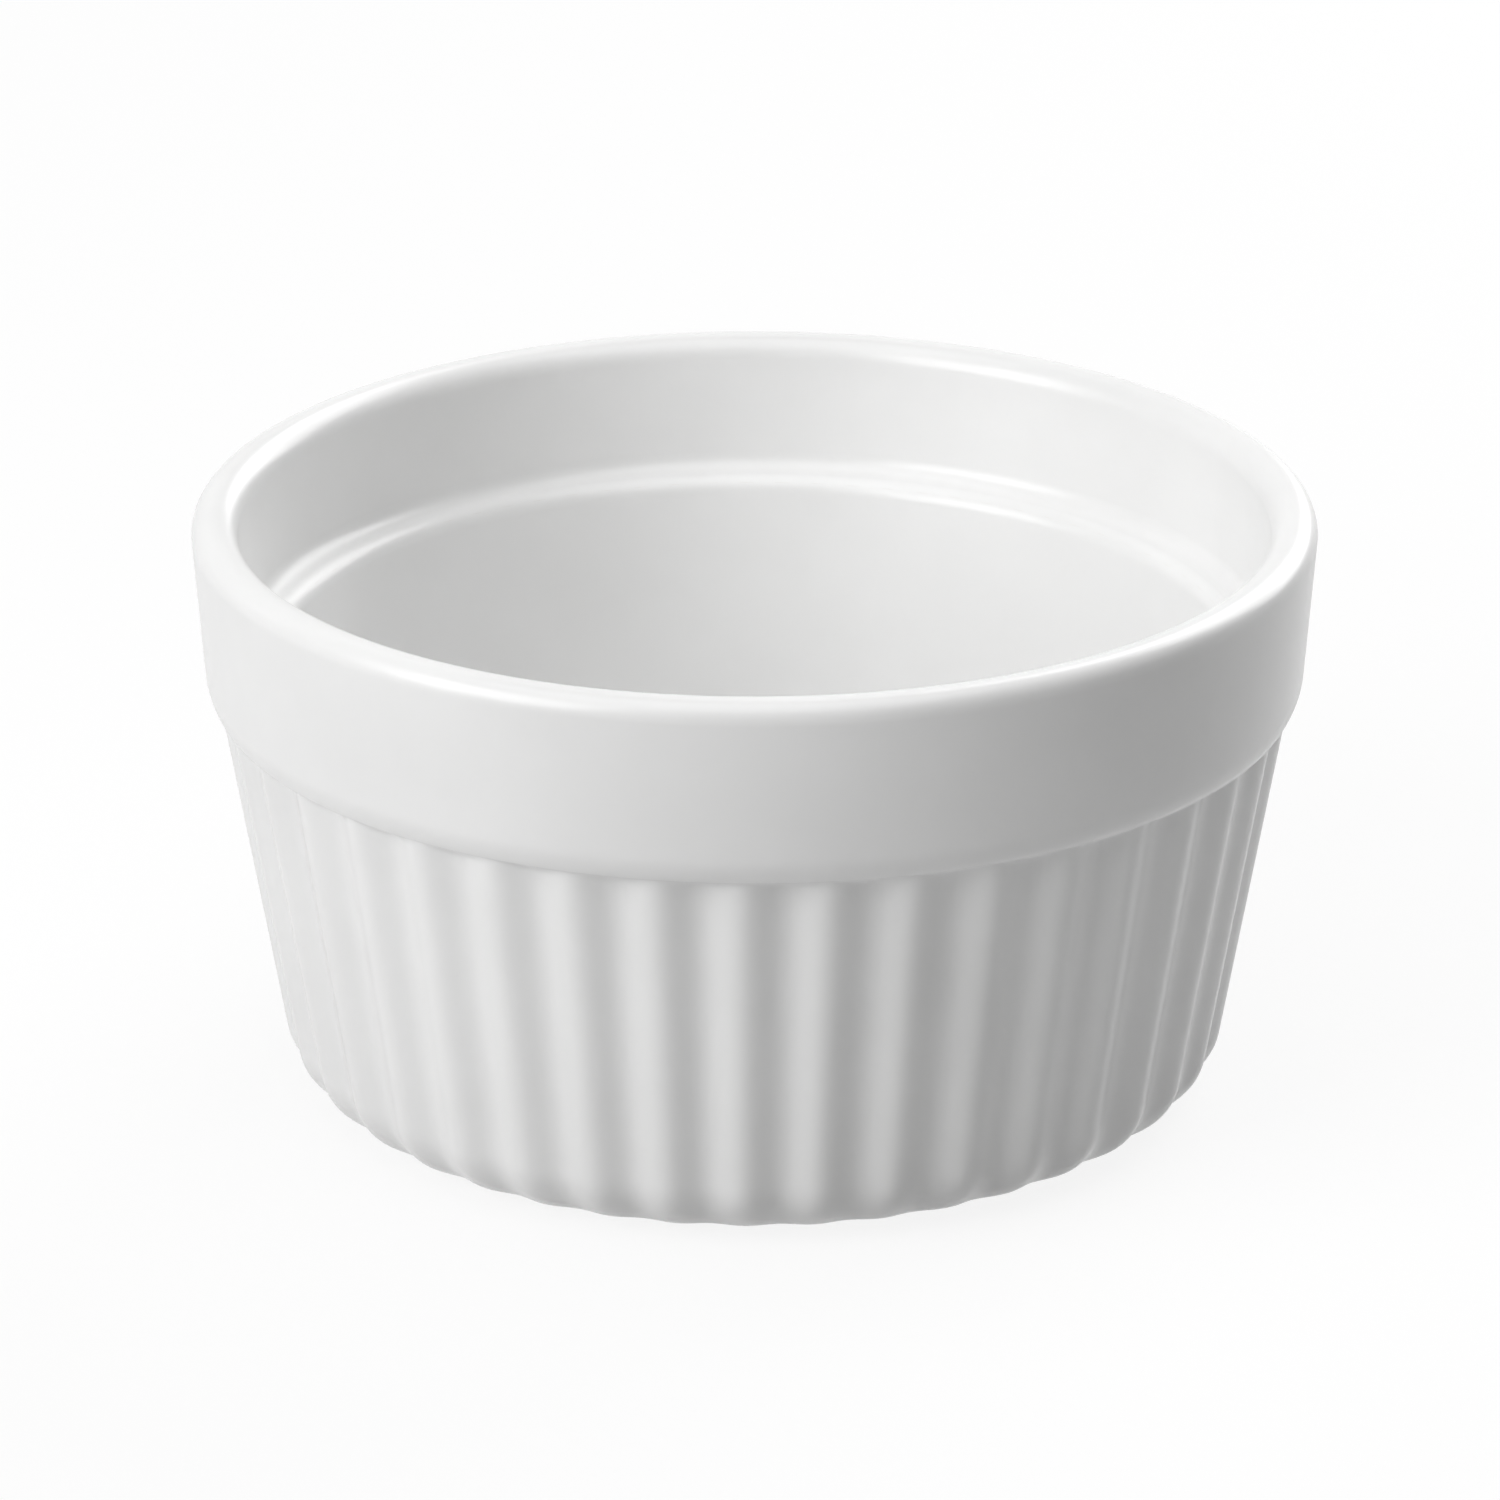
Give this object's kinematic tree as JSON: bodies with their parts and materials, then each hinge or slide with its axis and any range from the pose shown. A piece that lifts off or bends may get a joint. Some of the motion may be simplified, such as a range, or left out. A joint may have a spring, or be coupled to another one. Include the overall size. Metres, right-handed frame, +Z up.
{
  "type": "ramekin",
  "caption": "Round straight-sided glazed ceramic baking dish with a fluted outside wall, a plain band under a rounded rim and a stacking ledge inside.",
  "frame": {"origin": "centre of the foot ring's underside, on the surface that the dish stands on", "axes": "+Z up along the dish's axis; -Y runs through the crest of one rib, and the dish is the same every way round"},
  "size_m": [0.09, 0.09, 0.0485],
  "materials": {
    "fired_clay": "bare, matt",
    "white_glaze": "clear gloss over white"
  },
  "bodies": {
    "root": {"clay_body": "fired_clay", "glaze_coat": "white_glaze", "base_glaze": "white_glaze"}
  },
  "joints": []
}
